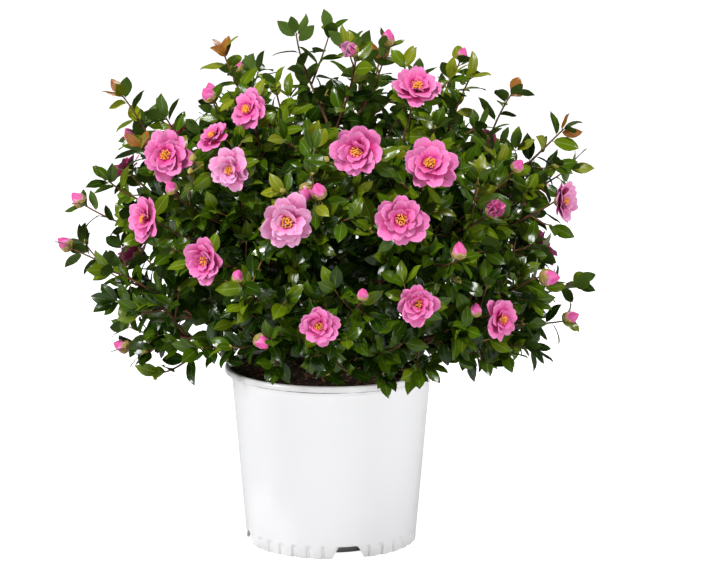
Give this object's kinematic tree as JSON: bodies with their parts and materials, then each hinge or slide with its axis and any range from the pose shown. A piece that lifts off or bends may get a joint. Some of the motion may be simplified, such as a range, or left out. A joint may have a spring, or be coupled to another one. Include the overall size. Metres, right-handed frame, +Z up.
{
  "type": "potted camellia shrub",
  "caption": "Rounded evergreen flowering shrub with glossy leaves and pink blooms, growing in a tapered round nursery pot.",
  "frame": {"origin": "centre of the pot's flat underside, on the ground", "axes": "+Z up along the pot's axis; the shrub's front faces -Y and +X is to the right of someone facing it"},
  "size_m": [0.7267, 0.6478, 0.7125],
  "materials": {
    "pot_plastic": "satin",
    "potting_mix": "matte",
    "bark": "matte",
    "foliage": "satin"
  },
  "bodies": {
    "root": {"pot": "pot_plastic", "potting_mix": "potting_mix", "trunk": "bark", "bough_top": "bark", "bough_upper_1": "bark", "bough_upper_2": "bark", "bough_upper_3": "bark", "bough_upper_4": "bark", "bough_upper_5": "bark", "bough_upper_6": "bark", "bough_lower_1": "bark", "bough_lower_2": "bark", "bough_lower_3": "bark", "bough_lower_4": "bark", "bough_lower_5": "bark", "bough_lower_6": "bark", "bough_lower_7": "bark", "bough_lower_8": "bark", "crown_top": "foliage", "crown_upper_1": "foliage", "crown_upper_2": "foliage", "crown_upper_3": "foliage", "crown_upper_4": "foliage", "crown_upper_5": "foliage", "crown_upper_6": "foliage", "crown_lower_1": "foliage", "crown_lower_2": "foliage", "crown_lower_3": "foliage", "crown_lower_4": "foliage", "crown_lower_5": "foliage", "crown_lower_6": "foliage", "crown_lower_7": "foliage", "crown_lower_8": "foliage"}
  },
  "joints": []
}
